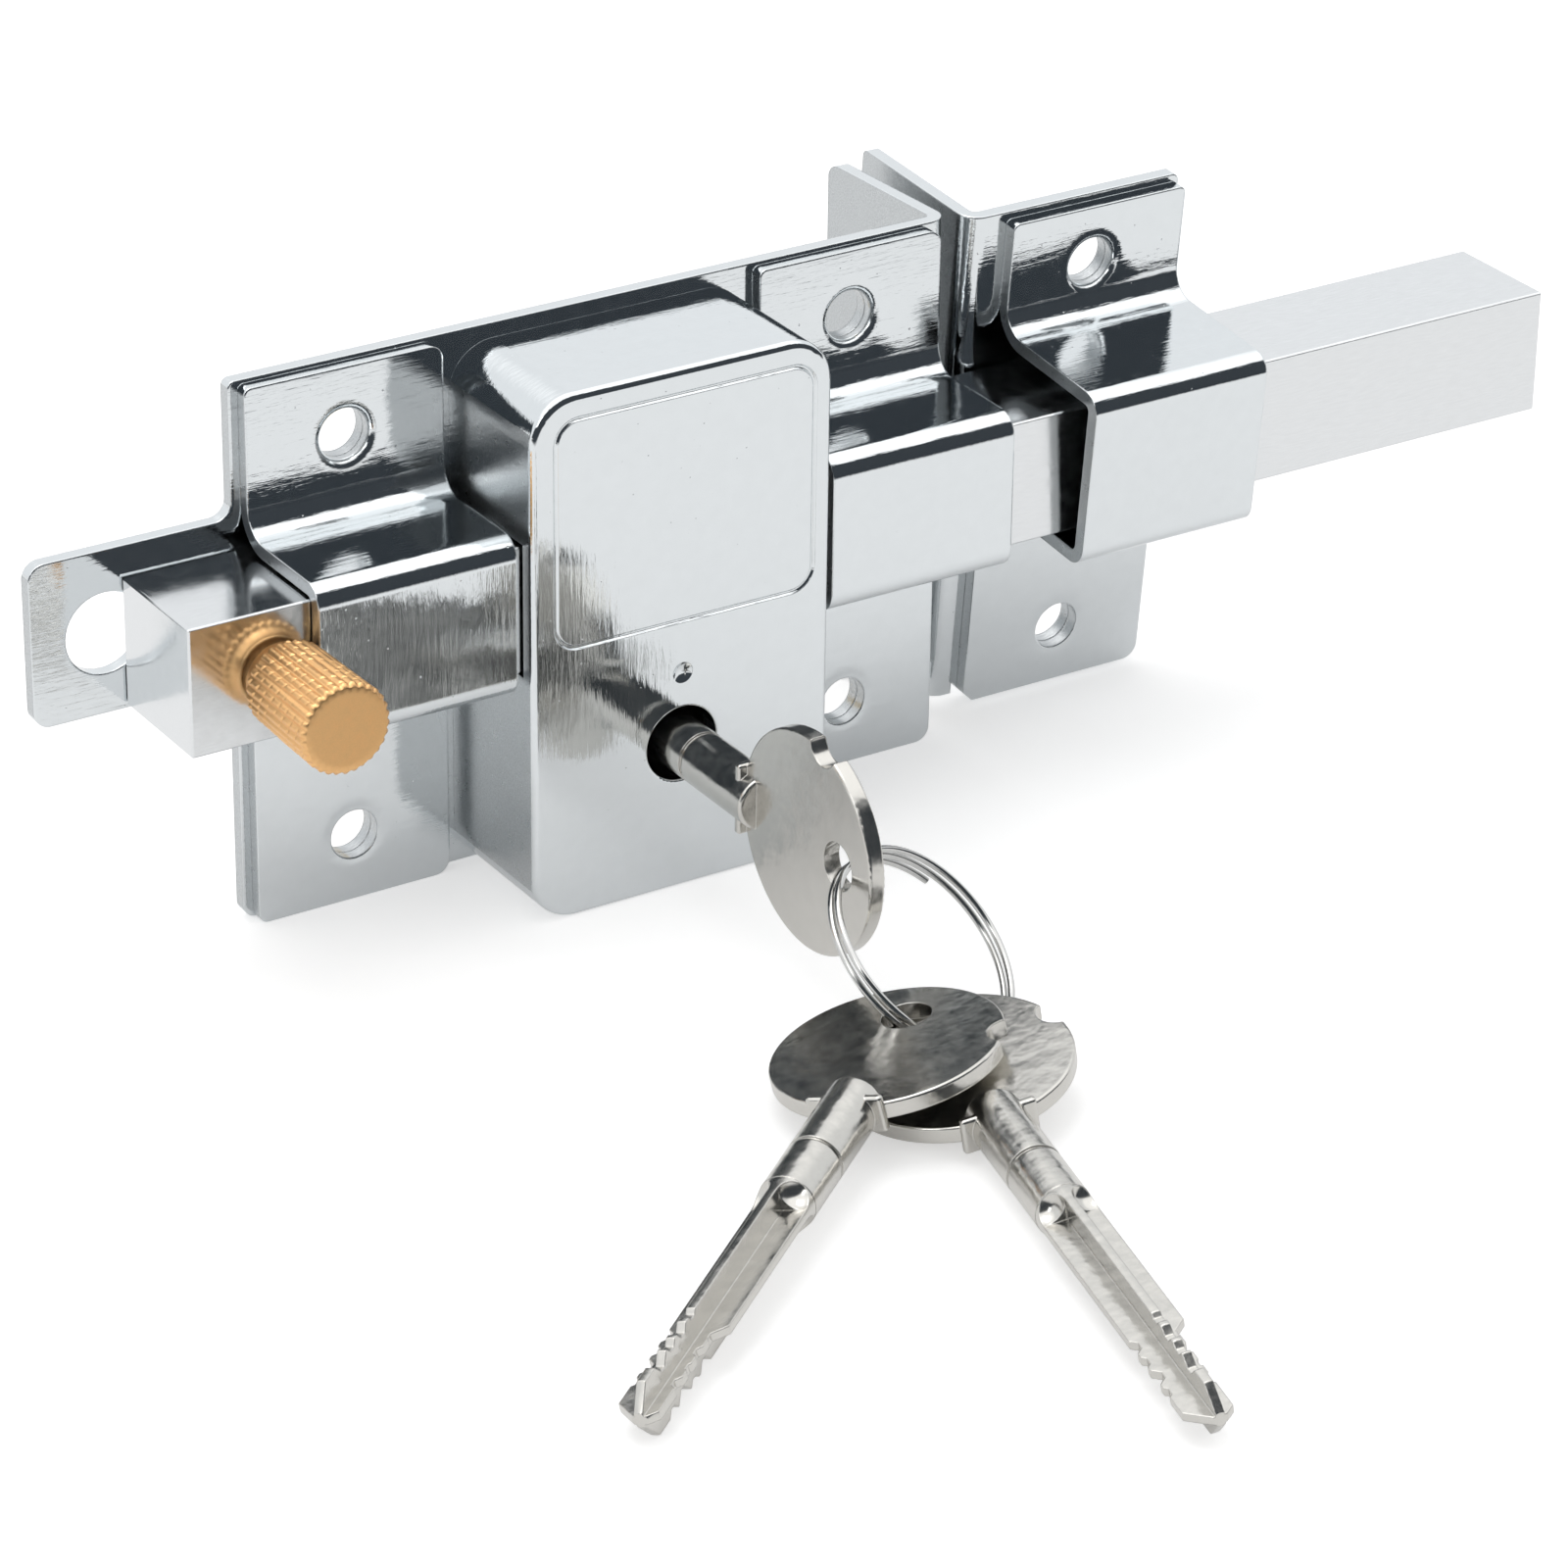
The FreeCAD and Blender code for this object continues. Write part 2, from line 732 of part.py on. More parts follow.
def make_plug():
    clip_back = barrel_back + shoulder_gap + washer + clip
    plug = rod_y(case_x, key_z, plug_r, shoulder_front, clip_back + plug_tail)
    plug = plug.fuse(rod_y(case_x, key_z, plug_shoulder_r, shoulder_front, shoulder_front + plug_shoulder))
    plug = plug.fuse(rod_y(case_x, key_z, spigot_r, cam_front, shoulder_front))
    ring = rod_y(case_x, key_z, plug_r + 1, clip_back - clip, clip_back)
    ring = ring.cut(rod_y(case_x, key_z, plug_r - clip_groove, clip_back - clip, clip_back))
    plug = plug.cut(ring).cut(make_keyway())
    chambers = []
    for place, outward in pin_places():
        chambers.append(rod(place + outward * (pin_tip_r - 2), outward, pin_r + pin_gap, plug_r))
    flats = spigot_flats(spigot_r)
    return plug.cut(Part.makeCompound(chambers)).cut(flats).removeSplitter()


def spigot_flats(radius):
    # The two flats that stop the crank turning on the plug
    sides = []
    for sz in (-1, 1):
        low = key_z + sz * (radius - spigot_flat)
        high = key_z + sz * (radius + 1)
        sides.append(block(case_x - radius - 1, case_x + radius + 1, cam_front - 1, shoulder_front,
                           min(low, high), max(low, high)))
    return Part.makeCompound(sides)


def make_plug_cam():
    disc = rod_y(case_x, key_z, cam_r, cam_front, cam_back)
    hole = rod_y(case_x, key_z, spigot_r + rivet_gap, cam_front - 1, cam_back + 1)
    hole = hole.cut(spigot_flats(spigot_r + rivet_gap))
    turn = math.radians(crank_start)
    pin_x = case_x + crank_radius * math.cos(turn)
    pin_z = key_z + crank_radius * math.sin(turn)
    pin = rod_y(pin_x, pin_z, crank_pin_r, dog_front, cam_front + 1)
    return disc.fuse(pin).cut(hole).removeSplitter()


def make_washer():
    start = barrel_back + shoulder_gap / 2
    return rod_y(case_x, key_z, washer_r, start, start + washer).cut(
        rod_y(case_x, key_z, plug_r + rivet_gap, start - 1, start + washer + 1))


def make_clip():
    start = barrel_back + shoulder_gap + washer
    disc = rod_y(case_x, key_z, clip_r, start, start + clip)
    disc = disc.cut(rod_y(case_x, key_z, plug_r - clip_groove + rivet_gap, start - 1, start + clip + 1))
    mouth = plug_r - clip_groove - clip_mouth
    return disc.cut(block(case_x - mouth, case_x + mouth, start - 1, start + clip + 1,
                          key_z - clip_r - 1, key_z))


def make_key_pins():
    pins = []
    length = plug_r - pin_end_gap - pin_tip_r
    for place, outward in pin_places():
        tip = Part.makeCone(pin_nose_r, pin_r, pin_nose, place + outward * pin_tip_r, outward)
        shaft = rod(place + outward * (pin_tip_r + pin_nose), outward, pin_r, length - pin_nose)
        pins.append(tip.fuse(shaft).removeSplitter())
    return Part.makeCompound(pins)


def make_driver_pins():
    pins = []
    for place, outward in pin_places():
        pins.append(rod(place + outward * (plug_r + 2 * pin_end_gap), outward, pin_r, driver_length))
    return Part.makeCompound(pins)


def make_pin_springs():
    # Small closed-wound springs, kept as sleeves inside the barrel
    springs = []
    start = plug_r + 3 * pin_end_gap + driver_length
    for place, outward in pin_places():
        outside = rod(place + outward * start, outward, pin_r, spring_length)
        inside = rod(place + outward * (start - 1), outward, pin_r - spring_wall, spring_length + 2)
        springs.append(outside.cut(inside))
    return Part.makeCompound(springs)


# Dog and the bracket that guides it

def make_dog():
    window_half = blade_r + dog_window_gap
    window_top = key_z + window_half
    window_bottom = key_z - window_half - dog_travel
    bottom = window_bottom - dog_foot
    body = block(case_x - dog_half_width, case_x + dog_half_width, dog_front, dog_back, bottom, dog_shoulder)
    tongue = block(case_x - dog_tongue_half, case_x + dog_tongue_half, dog_front, dog_back,
                   bottom + dog_foot, dog_top)
    window = rounded_slab(case_x - window_half, case_x + window_half, window_bottom, window_top,
                          dog_front - 1, dog_back + 1, [window_half - dog_window_flat] * 4)
    turn = math.radians(crank_start)
    slot_z = key_z + crank_radius * math.sin(turn)
    slot_half = crank_pin_r + crank_slot_gap
    slot_end = case_x + crank_radius + crank_pin_r + crank_slot_gap
    slot = block(case_x, slot_end, dog_front - 1, dog_back + 1, slot_z - slot_half, slot_z + slot_half)
    return body.fuse(tongue).cut(window).cut(slot).removeSplitter()


def make_guide_bracket():
    web = rounded_slab(case_x - guide_half_x, case_x + guide_half_x, key_z - guide_half_z,
                       key_z + guide_half_z, guide_front, guide_back, [guide_corner] * 4)
    inner = dog_half_width + guide_side_gap
    parts = [web]
    for side in (-1, 1):
        near = case_x + side * inner
        far = case_x + side * (inner + guide_cheek)
        parts.append(block(min(near, far), max(near, far), guide_back - guide / 2, dog_back,
                           key_z - guide_half_z, key_z + guide_half_z))
    bracket = parts[0].fuse(parts[1:])
    bracket = bracket.cut(rod_y(case_x, key_z, guide_hole_r, guide_front - 1, guide_back + 1))
    for x, z in guide_posts_at():
        bracket = bracket.cut(rod_y(x, z, guide_rivet_r + rivet_gap, guide_front - 1, guide_back + 1))
    return bracket.removeSplitter()


def make_guide_posts():
    posts = []
    for x, z in guide_posts_at():
        post = rod_y(x, z, guide_post_r, guide_back, plate_front)
        post = post.fuse(rod_y(x, z, guide_rivet_r, guide_front - guide_rivet_head, 0))
        post = post.fuse(rod_y(x, z, guide_rivet_head_r, guide_front - guide_rivet_head, guide_front))
        posts.append(post.removeSplitter())
    return Part.makeCompound(posts)


# Bar with its two pockets for the dog and the groove for the travel stop

def make_bar():
    bar = block(bar_left, bar_left + bar_length, bar_front, bar_back, bar_bottom, bar_top)
    bar = bar.makeChamfer(bar_edge, bar.Edges)
    half = dog_tongue_half + pocket_gap
    for x in (case_x, case_x + bar_travel):
        bar = bar.cut(block(x - half, x + half, dog_front - pocket_gap, dog_back + pocket_gap,
                            bar_bottom - 1, pocket_top))
    groove_half = stop_pin_r + stop_gap
    groove_front = plate_front - stop_reach - stop_gap
    bar = bar.cut(block(stop_x - groove_half, stop_x + bar_travel + groove_half, groove_front,
                        bar_back + 1, bar_z - groove_half, bar_z + groove_half))
    return bar.cut(rod_y(knob_x, bar_z, stud_r + stud_gap, bar_front - 1,
                         bar_front + stud_in_bar + stud_end_gap))


def make_travel_stop():
    return rod_y(stop_x, bar_z, stop_pin_r, plate_front - stop_reach, 0)


# Brass knob

def turned(profile_points, x, y_front, z):
    # A turned piece: (radius, distance behind the front) pairs, closed on the axis
    points = [Vector(x + r, y_front + back, z) for r, back in profile_points]
    edges = []
    for start, end in zip(points, points[1:] + points[:1]):
        edges.append(Part.LineSegment(start, end).toShape())
    face = Part.Face(Part.Wire(edges))
    return face.revolve(Vector(x, y_front, z), along_y, 360)


def make_knob():
    shoulder_back = knob_length - knob_neck
    knob = turned([(0, 0), (knob_front_r - knob_chamfer, 0), (knob_front_r, knob_chamfer),
                   (knob_back_r, knob_length - knob_grip_back),
                   (knob_shoulder_r, knob_length - knob_shoulder_front),
                   (knob_shoulder_r, shoulder_back - knob_shoulder_round),
                   (knob_shoulder_r - knob_shoulder_round, shoulder_back),
                   (knob_neck_r, shoulder_back), (knob_neck_r, knob_length), (0, knob_length)],
                  knob_x, knob_front, bar_z)
    cutters = []
    taper = math.atan2(knob_front_r - knob_back_r, knob_length - knob_grip_back - knob_chamfer)
    reach = knob_front_r - knob_groove_depth + knob_groove_r
    for i in range(knob_grooves):
        turn = 2 * math.pi * i / knob_grooves
        outward = Vector(math.cos(turn), 0, math.sin(turn))
        start = Vector(knob_x, knob_front - 1, bar_z) + outward * (reach + math.tan(taper))
        direction = along_y * math.cos(taper) - outward * math.sin(taper)
        cutters.append(rod(start, direction, knob_groove_r, knob_length - knob_groove_back + 1))
    knob = knob.cut(Part.makeCompound(cutters))
    return knob.cut(rod_y(knob_x, bar_z, stud_r + stud_gap, bar_front - stud_in_knob - stud_end_gap,
                          bar_front + 1))


def make_knob_stud():
    return rod_y(knob_x, bar_z, stud_r, bar_front - stud_in_knob, bar_front + stud_in_bar)


# Keeper

def keeper_holes():
    # Along the keeper's own upright, before it is tilted
    return keeper_hole_z + screw_spacing_z / 2, keeper_hole_z - screw_spacing_z / 2


def tilted(shape):
    shape.rotate(Vector(0, 0, 0), along_x, keeper_tilt)
    shape.translate(along_y * keeper_back)
    return shape


def make_keeper_plate():
    plate = bent_sheet(keeper_right, keeper_face, keeper_return, keeper_splay, keeper_bottom, keeper_top)
    plate = plate.cut(block(keeper_face - sheet, keeper_flange_left, plate_front - 1, keeper_return + 1,
                            keeper_bottom - 1, keeper_return_bottom))
    outline = rounded_slab(keeper_face - 1, keeper_right, keeper_bottom, keeper_top, plate_front - 1,
                           keeper_return + 1, [0, keeper_low_corner, keeper_plate_corner, 0])
    side = closed_outline([Vector(keeper_face - 1, plate_front - 1, keeper_bottom - 1),
                           Vector(keeper_face - 1, keeper_return, keeper_bottom - 1),
                           Vector(keeper_face - 1, keeper_return, keeper_top - keeper_return_drop),
                           Vector(keeper_face - 1, 0, keeper_top),
                           Vector(keeper_face - 1, plate_front - 1, keeper_top)],
                          [0, 0, keeper_return_corner, 0, 0])
    plate = plate.common(outline).common(side.extrude(Vector(keeper_width + 2, 0, 0)))
    plate = plate.cut(keeper_corner_cut())
    for z in keeper_holes():
        plate = plate.cut(rod_y(keeper_hole_x, z, screw_hole_r, plate_front - 1, 1))
    return tilted(plate)


def keeper_corner_cut():
    # The sheared lower corner beside the door's edge
    points = [Vector(keeper_flange_left - 1, flange_front - 1, keeper_bottom - 1),
              Vector(keeper_flange_left + keeper_chamfer + 1, flange_front - 1, keeper_bottom - 1),
              Vector(keeper_flange_left - 1, flange_front - 1, keeper_bottom + keeper_chamfer + 1)]
    return Part.Face(Part.makePolygon(points + points[:1])).extrude(Vector(0, 3 * sheet, 0))


def make_keeper_bridge():
    hat = hat_sheet(keeper_flange_left, keeper_right, keeper_bottom, keeper_bridge_top, keeper_channel_z,
                    keeper_channel_half, keeper_channel_front, keeper_nose)
    foot = keeper_channel_z - keeper_channel_half - bridge_foot
    hat = hat.cut(block(keeper_flange_left - 1, keeper_bridge_left, keeper_channel_front - 1, 1, foot,
                        keeper_bridge_top + 1))
    lower = rounded_slab(keeper_flange_left, keeper_right, keeper_bottom, keeper_bridge_top,
                         keeper_channel_front - 1, 1, [0, keeper_low_corner, 0, 0])
    upper = rounded_slab(keeper_bridge_left, keeper_right, foot, keeper_bridge_top,
                         keeper_channel_front - 1, 1, [0, 0, keeper_top_corner, keeper_top_corner])
    below = block(keeper_flange_left, keeper_right, keeper_channel_front - 1, 1, keeper_bottom, foot)
    hat = hat.common(lower).common(upper.fuse(below)).cut(keeper_corner_cut())
    hole_up, hole_down = keeper_holes()
    hat = screw_hole(hat, keeper_hole_x, hole_up, screw_rim)
    return tilted(screw_hole(hat, keeper_hole_x, hole_down, 0))


# Keys

def make_key():
    # Local frame: x along the shank from the middle of the bow, z across the bow
    disc = Part.makeCylinder(bow_r, bow, Vector(0, 0, -bow / 2), along_z)
    disc = disc.makeFillet(bow_edge, edges_where(disc, lambda e: hasattr(e.Curve, "Radius")))
    turn = math.radians(bow_notch_angle)
    reach = bow_r - bow_notch_depth + bow_notch_r
    notch_at = Vector(reach * math.cos(turn), reach * math.sin(turn), -bow)
    disc = disc.cut(Part.makeCylinder(bow_notch_r, 2 * bow, notch_at, along_z))
    disc = disc.cut(Part.makeCylinder(bow_hole_r, 2 * bow, Vector(-bow_hole_x, 0, -bow), along_z))
    shank = rod(Vector(shank_start, 0, 0), along_x, shank_r, key_length - shank_start)
    start_rim = edges_where(shank, lambda e: abs(e.CenterOfMass.x - shank_start) < 1e-4)
    shank = shank.makeFillet(shank_start_round, start_rim)
    blade_only = rod(Vector(blade_start, 0, 0), along_x, shank_r + 1, key_length)
    slim = rod(Vector(blade_start, 0, 0), along_x, blade_r, key_length - blade_start)
    shank = shank.cut(blade_only).fuse(slim)
    fins = block(fin_start, fin_end, -fin_half_width, fin_half_width, -fin_half_height, fin_half_height)
    shank = shank.fuse(fins.makeFillet(fin_round, fins.Edges))
    groove = rod(Vector(shank_groove, 0, 0), along_x, shank_r + 1, shank_groove_width)
    groove = groove.cut(rod(Vector(shank_groove - 1, 0, 0), along_x, shank_r - shank_groove_depth,
                            shank_groove_width + 2))
    shank = shank.cut(groove)
    for cutter in flutes(blade_rib / 2, blade_start + blade_flute_r, key_length + 1):
        shank = shank.cut(cutter)
    tip_start = key_length - key_tip
    beyond = rod(Vector(tip_start, 0, 0), along_x, blade_r + 1, key_tip + 1)
    cone = Part.makeCone(blade_r, key_tip_r, key_tip, Vector(tip_start, 0, 0), along_x)
    shank = shank.cut(beyond.cut(cone))
    for quarter, depths in enumerate((bit_top, bit_left, bit_bottom, bit_right)):
        for i, depth in enumerate(depths):
            shank = shank.cut(bit_notch(bit_start + i * bit_pitch, depth, quarter * quarter_turn))
    step = block(bit_step_start, key_length + 1, blade_r - bit_step, blade_r + 1, -blade_rib, blade_rib)
    shank = shank.cut(step)
    return disc.fuse(shank).removeSplitter()


def bit_notch(x, depth, turn_x):
    # A cut with sloping sides across one rib of the blade, turned from the upper rib
    low = blade_r - depth
    high = blade_r + 1
    slope = high - low
    points = [Vector(x - bit_floor / 2 - slope, -blade_rib, high), Vector(x - bit_floor / 2, -blade_rib, low),
              Vector(x + bit_floor / 2, -blade_rib, low), Vector(x + bit_floor / 2 + slope, -blade_rib, high)]
    notch = Part.Face(Part.makePolygon(points + points[:1])).extrude(Vector(0, 2 * blade_rib, 0))
    notch.rotate(Vector(0, 0, 0), along_x, turn_x)
    return notch


def placed_key(frame):
    key = make_key()
    key.Placement = frame
    return key


def lying_frame(bow_place, yaw, pitch, roll):
    flat = Vector(math.cos(math.radians(yaw)), math.sin(math.radians(yaw)), 0)
    rise = math.radians(pitch)
    direction = flat * math.cos(rise) + along_z * math.sin(rise)
    level = unit(along_z - direction * along_z.dot(direction))
    side = level.cross(direction)
    lean = math.radians(roll)
    return key_frame(bow_place, direction, level * math.cos(lean) + side * math.sin(lean))


# Split ring: one wire wound a little over two turns

def ring_point(turns):
    normal = unit(ring_normal)
    across = unit(along_z.cross(normal))
    up = normal.cross(across)
    angle = math.radians(ring_start) + 2 * math.pi * turns
    lift = (turns - ring_turns / 2) * ring_pitch
    return ring_centre + across * (ring_r * math.cos(angle)) + up * (ring_r * math.sin(angle)) + normal * lift


def ring_tangent(turns):
    step = 1e-4
    return unit(ring_point(turns + step) - ring_point(turns - step))


def arc_from(start, tangent, end):
    chord = end - start
    side = unit(chord - tangent * chord.dot(tangent))
    radius = chord.dot(chord) / (2 * chord.dot(side))
    centre = start + side * radius
    middle = centre + unit((start - centre) + (end - centre)) * radius
    return Part.Arc(start, middle, end).toShape()


def biarc(first, first_tangent, last, last_tangent):
    chord = last - first
    both = first_tangent + last_tangent
    a = both.dot(both) - 4
    b = -2 * chord.dot(both)
    c = chord.dot(chord)
    reach = (-b - math.sqrt(b * b - 4 * a * c)) / (2 * a)
    joint = (first + first_tangent * reach + last - last_tangent * reach) * 0.5
    joint_tangent = unit((last - last_tangent * reach) - (first + first_tangent * reach))
    return [arc_from(first, first_tangent, joint), arc_from(joint, joint_tangent, last)]


def make_ring():
    steps = math.ceil(4 * ring_turns)
    edges = []
    for i in range(steps):
        first = ring_turns * i / steps
        last = ring_turns * (i + 1) / steps
        edges += biarc(ring_point(first), ring_tangent(first), ring_point(last), ring_tangent(last))
    path = Part.Wire(edges)
    section = Part.Wire(Part.Circle(ring_point(0), ring_tangent(0), ring_wire_r).toShape())
    wire = path.makePipeShell([section], True, False)
    report_ring_gap(path, wire)
    return wire


def report_ring_gap(path, wire):
    count = 400
    points = path.discretize(count)
    step = path.Length / (count - 1)
    apart = int(math.pi * ring_r / step)
    least = min((points[i] - points[j]).Length for i in range(count) for j in range(i + apart, count))
    print("split ring: least gap between turns %.3f mm" % (least - 2 * ring_wire_r))
    area = math.pi * ring_wire_r ** 2
    print("split ring: volume over section times length %.4f" % (wire.Volume / (area * path.Length)))


# The whole lock

keep("backplate", make_backplate())
keep("left_bridge", make_bridge(-screw_spacing_x / 2))
keep("right_bridge", make_bridge(screw_spacing_x / 2))
keep("case_shell", make_case())
keep("case_posts", make_case_posts())
keep("case_screws", make_case_screws())
keep("cylinder_body", make_cylinder_body())
keep("cylinder_screws", make_flange_screws())
keep("plug", make_plug())
keep("plug_cam", make_plug_cam())
keep("plug_washer", make_washer())
keep("plug_clip", make_clip())
keep("key_pins", make_key_pins())
keep("driver_pins", make_driver_pins())
keep("pin_springs", make_pin_springs())
keep("locking_dog", make_dog())
keep("guide_bracket", make_guide_bracket())
keep("guide_posts", make_guide_posts())
keep("bolt_bar", make_bar())
keep("travel_stop", make_travel_stop())
keep("knob", make_knob())
keep("knob_stud", make_knob_stud())
keep("keeper_plate", make_keeper_plate())
keep("keeper_bridge", make_keeper_bridge())
keep("key_1", placed_key(key_1_frame()))
keep("key_2", placed_key(lying_frame(key_2_bow, key_2_yaw, key_2_pitch, key_2_roll)))
keep("key_3", placed_key(lying_frame(key_3_bow, key_3_yaw, key_3_pitch, key_3_roll)))
keep("split_ring", make_ring())

os.makedirs("parts", exist_ok=True)
for name, shape in made.items():
    shape.exportStep("parts/%s.step" % name)
    print("%-16s solids %d valid %s volume %.1f" % (name, len(shape.Solids), shape.isValid(), shape.Volume))
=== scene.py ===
import bmesh
import bpy
import math
from mathutils import Matrix, Vector, noise


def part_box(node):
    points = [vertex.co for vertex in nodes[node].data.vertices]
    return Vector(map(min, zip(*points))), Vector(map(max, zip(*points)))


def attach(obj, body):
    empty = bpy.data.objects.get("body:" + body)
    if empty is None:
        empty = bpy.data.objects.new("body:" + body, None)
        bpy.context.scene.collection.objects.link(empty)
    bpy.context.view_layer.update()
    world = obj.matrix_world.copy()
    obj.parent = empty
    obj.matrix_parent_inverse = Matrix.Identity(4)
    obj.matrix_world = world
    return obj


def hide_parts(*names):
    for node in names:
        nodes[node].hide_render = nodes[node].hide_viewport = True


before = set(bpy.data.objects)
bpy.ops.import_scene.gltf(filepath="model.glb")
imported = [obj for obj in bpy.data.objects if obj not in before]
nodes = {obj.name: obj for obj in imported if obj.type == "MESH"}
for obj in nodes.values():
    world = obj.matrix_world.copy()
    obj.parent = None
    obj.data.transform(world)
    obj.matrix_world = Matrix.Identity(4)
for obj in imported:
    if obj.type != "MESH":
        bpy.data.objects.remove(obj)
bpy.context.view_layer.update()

# Camera, solved from the photograph's straight edges: its place in metres, its angles in
# degrees, its lens and sensor in millimetres
camera_place = (-0.3990534, -0.6732695, 0.3674332)
camera_azimuth = -32.6991
camera_elevation = 27.205
camera_roll = 0.8216
camera_lens = 140.424
sensor = 36.0
clip_near = 0.01
clip_far = 100

# The studio that the metal mirrors: white floor and wall, bright ceiling, dark behind the camera
floor_half = 4.0
floor_z = -0.0406
floor_front = -0.27
floor_fade = 0.05
floor_seen_glow = 0.45
floor_mirrored_glow = 0.2
floor_white = (0.8, 0.8, 0.8, 1)
room_diffuse = (0.8, 0.8, 0.8, 1)
room_dark = (0.05, 0.058, 0.067, 1)
room_back = (0.97, 0.985, 1.0, 1)
room_ceiling = (1.45, 1.45, 1.45, 1)
white = (1, 1, 1, 1)
ceiling_front = 1.6
ceiling_front_from = -0.08
ceiling_front_to = 0.02
ceiling_back_from = 0.56
ceiling_back_to = 0.74

# Soft lamps, aimed at the lock: sizes in metres and power in watts
lamp_aim = (0, 0, 0)
top_lamp_place = (-0.2, 0.2, 1.5)
top_lamp_side = 0.9
top_lamp_power = 5.0
left_lamp_place = (-1.1, -0.55, 0.75)
left_lamp_width = 0.35
left_lamp_height = 0.5
left_lamp_power = 1.5

# Plate: how far forward the upright streaks begin, and the limits of the surface's direction
# that tell its fronts, ends and hole walls apart
front_streaks_from = -0.0228
facing_front = -0.8
facing_end = 0.97
facing_side = 0.5

# Plate: streaks, swells, clouds and pits, with scales per metre and depths in metres
streak_stretch = 0.12
streak_scale = 1300.0
streak_depth = 0.000032
fine_streak_scale = 4200.0
fine_streak_depth = 0.0000065
streak_detail = 3.0
streak_roughness = 0.6
swell_scale = 110.0
swell_depth = 0.00007
swell_detail = 2.0
cloud_scale = 420.0
cloud_detail = 7.0
cloud_roughness = 0.62
cloud_shade = 0.07
cloud_low = 0.3
cloud_high = 0.7
pit_scale = 420.0
pit_inner = 0.03
pit_outer = 0.07
pit_depth = 0.000016
plate_smooth = 0.045
plate_dull = 0.09
end_dull = 0.22
# Painted shade: how much the sheared ends and hole walls are darkened along the fine streaks
end_painted_shade = 0.55
sheet_edge = 0.00045
drawn_edge = 0.00012
plate_edge_samples = 8
flange_lean = 0.035

# Other metals: their noise and edges
mottle_detail = 6.0
mottle_roughness = 0.6
grain_detail = 4.0
grain_roughness = 0.65
metal_edge_samples = 6

# Screw holes in the flanges, pressed in a little around their rims, with dull walls
# that also carry painted shade
hole_x = 0.04065
keeper_hole_x = 0.0817
hole_z = 0.0304
hole_mid_z = 0.0002
dish_radius = 0.0037
dish_width = 0.001
dish_depth = 0.00015
hole_wall = 0.0002

# The knob: straight flutes with slanting nicks across them, a scalloped chamfer, a plain shoulder
knob_face_rings = (0.0, 0.0025, 0.005)
knob_front_radius = 0.00665
knob_back_radius = 0.00635
knob_chamfer = 0.00055
knob_rim = 0.0001
knob_rim_drop = 0.00004
knob_rim_cut = 0.15
knob_grip_end = 0.0162
knob_grip_step = 0.0006
knob_grip_step_back = 0.00025
knob_grip_step_cut = 0.5
knob_shoulder = 0.0169
knob_shoulder_radius = 0.0051
knob_shoulder_end = 0.0188
knob_shoulder_round = 0.0004
knob_round_steps = 4
knob_neck_radius = 0.0036
knob_flutes = 30
knob_flute_depth = 0.00032
knob_flute_sharpness = 1.6
knob_nick_depth = 0.00026
knob_nick_count = 10
knob_nick_turns = 7.8
knob_nick_sharpness = 9
knob_nick_share = 0.6
knob_nick_spread = 2.4
knob_wander_around = 1.7
knob_wander_along = 180
knob_wander_depth = 0.00004
knob_columns = 360
knob_rows = 90
merge_distance = 1e-7

# Colours, as linear values
chrome_colour = (0.74, 0.77, 0.785)
satin_colour = (0.76, 0.775, 0.785)
inner_colour = (0.42, 0.41, 0.385)
nickel_colour = (0.62, 0.607, 0.575)
ring_colour = (0.60, 0.60, 0.59)
brass_colour = (0.86, 0.52, 0.235)
cylinder_brass_colour = (0.62, 0.44, 0.17)
nickel_brass_colour = (0.58, 0.56, 0.50)


# Camera

def make_camera():
    azimuth = math.radians(camera_azimuth)
    elevation = math.radians(camera_elevation)
    roll = math.radians(camera_roll)
    back = Vector((math.sin(azimuth) * math.cos(elevation),
                   -math.cos(azimuth) * math.cos(elevation),
                   math.sin(elevation)))
    level = Vector((math.cos(azimuth), math.sin(azimuth), 0))
    upright = back.cross(level)
    right = level * math.cos(roll) + upright * math.sin(roll)
    up = upright * math.cos(roll) - level * math.sin(roll)
    data = bpy.data.cameras.new("camera")
    data.lens = camera_lens
    data.sensor_width = sensor
    data.sensor_height = sensor
    data.clip_start = clip_near
    data.clip_end = clip_far
    camera = bpy.data.objects.new("camera", data)
    bpy.context.scene.collection.objects.link(camera)
    turn = Matrix((right, up, back)).transposed().to_4x4()
    camera.matrix_world = Matrix.Translation(camera_place) @ turn
    bpy.context.scene.camera = camera


# Helpers

def new_mesh_object(name, vertices, faces):
    mesh = bpy.data.meshes.new(name)
    mesh.from_pydata(vertices, [], faces)
    mesh.update()
    piece = bpy.data.objects.new(name, mesh)
    bpy.context.scene.collection.objects.link(piece)
    return piece


